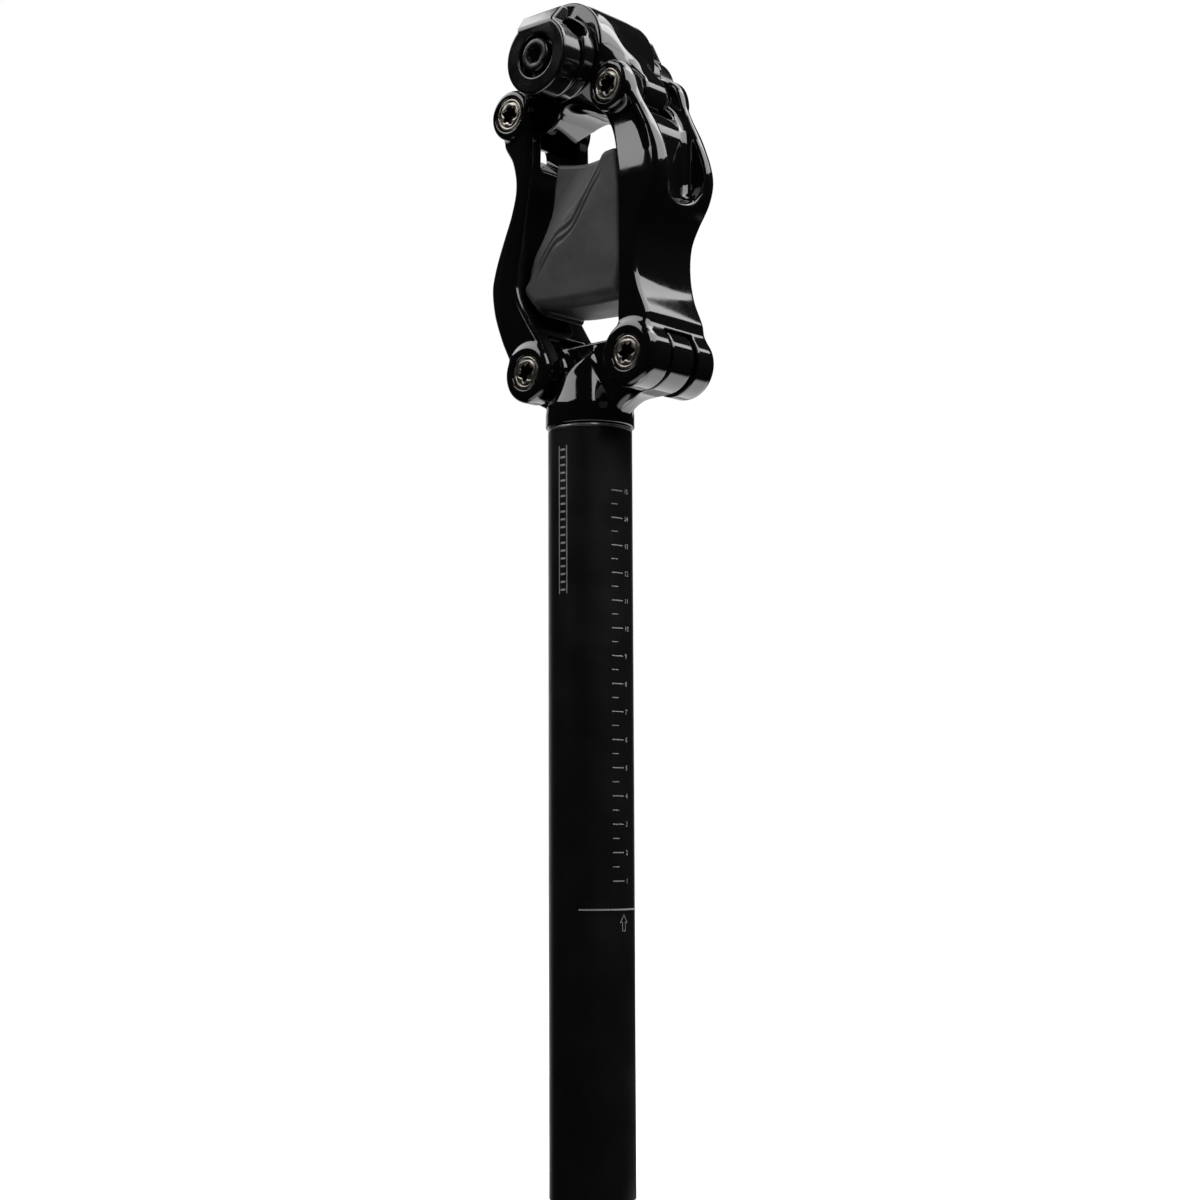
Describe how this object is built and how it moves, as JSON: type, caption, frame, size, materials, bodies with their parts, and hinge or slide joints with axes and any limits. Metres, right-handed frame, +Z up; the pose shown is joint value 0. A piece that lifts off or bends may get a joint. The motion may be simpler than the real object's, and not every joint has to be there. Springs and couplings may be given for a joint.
{
  "type": "suspension seatpost",
  "caption": "Bicycle seatpost with a straight round tube and a sprung parallelogram linkage that carries a two-sided saddle rail clamp.",
  "frame": {"origin": "on the tube's axis at the foot of the tube, where it goes down into the bicycle's seat tube", "axes": "+Z up along the tube towards the saddle, +X forward, the way the bicycle rides, +Y to the rider's left"},
  "size_m": [0.0844, 0.0637, 0.4344],
  "materials": {
    "tube_black": "satin black anodised aluminium tube",
    "forging_black": "gloss black forged aluminium",
    "clamp_black": "semi-gloss black aluminium",
    "rubber_grey": "matte dark grey moulded elastomer",
    "bolt_nickel": "warm grey plated steel",
    "steel_dark": "dark oxide steel",
    "steel_plain": "plain steel",
    "axle_steel": "ground steel",
    "bush_plastic": "dark polymer bearing"
  },
  "bodies": {
    "post": {"post_tube": "tube_black", "lower_yoke": "forging_black", "lower_front_bush_right": "bush_plastic", "lower_front_bush_left": "bush_plastic", "lower_rear_bush_right": "bush_plastic", "lower_rear_bush_left": "bush_plastic"},
    "front_link": {"front_link": "forging_black", "lower_front_axle": "axle_steel", "lower_front_bolt_right": "bolt_nickel", "lower_front_bolt_left": "bolt_nickel", "upper_front_axle": "axle_steel", "upper_front_bolt_right": "bolt_nickel", "upper_front_bolt_left": "bolt_nickel"},
    "elastomer": {"elastomer": "rubber_grey"},
    "rear_link": {"rear_link": "forging_black", "lower_rear_axle": "axle_steel", "lower_rear_bolt_right": "bolt_nickel", "lower_rear_bolt_left": "bolt_nickel", "upper_rear_axle": "axle_steel", "upper_rear_bolt_right": "bolt_nickel", "upper_rear_bolt_left": "bolt_nickel"},
    "head": {"head": "forging_black", "upper_front_bush_right": "bush_plastic", "upper_front_bush_left": "bush_plastic", "upper_rear_bush_right": "bush_plastic", "upper_rear_bush_left": "bush_plastic"},
    "rail_clamp": {"inner_clamp_right": "clamp_black", "inner_clamp_left": "clamp_black"},
    "right_clamp_plate": {"outer_clamp_right": "clamp_black", "clamp_washer": "steel_plain", "clamp_bolt": "steel_dark"},
    "left_clamp_plate": {"outer_clamp_left": "clamp_black", "clamp_nut": "steel_dark"}
  },
  "joints": [
    {"name": "front_link_pivot", "type": "hinge", "parent": "post", "child": "front_link", "pos_m": [0.0332, 0, 0.297], "axis": [0, -1, 0], "range_deg": [0, 51], "stiffness_Nm_per_rad": 110, "deforming": ["elastomer"]},
    {"name": "elastomer_roll", "type": "hinge", "parent": "front_link", "child": "elastomer", "pos_m": [0.0273, 0, 0.344], "axis": [0, -1, 0], "range_deg": [-25.5, 0]},
    {"name": "rear_link_pivot", "type": "hinge", "parent": "post", "child": "rear_link", "pos_m": [-0.0155, 0, 0.297], "axis": [0, -1, 0], "range_deg": [0, 51]},
    {"name": "head_pivot", "type": "hinge", "parent": "rear_link", "child": "head", "pos_m": [-0.0239, 0, 0.397], "axis": [0, -1, 0], "range_deg": [-51, 0]},
    {"name": "saddle_tilt", "type": "hinge", "parent": "head", "child": "rail_clamp", "pos_m": [0.0018, 0, 0.41], "axis": [0, -1, 0], "range_deg": [-20, 20]},
    {"name": "right_clamp_slide", "type": "slide", "parent": "rail_clamp", "child": "right_clamp_plate", "axis": [0, -1, 0], "range_m": [0, 0.004]},
    {"name": "left_clamp_slide", "type": "slide", "parent": "rail_clamp", "child": "left_clamp_plate", "axis": [0, 1, 0], "range_m": [0, 0.004]}
  ],
  "couplings": [
    {"joint": "elastomer_roll", "follows": "front_link_pivot", "ratio": -0.5},
    {"joint": "rear_link_pivot", "follows": "front_link_pivot", "ratio": 1},
    {"joint": "head_pivot", "follows": "front_link_pivot", "ratio": -1}
  ]
}
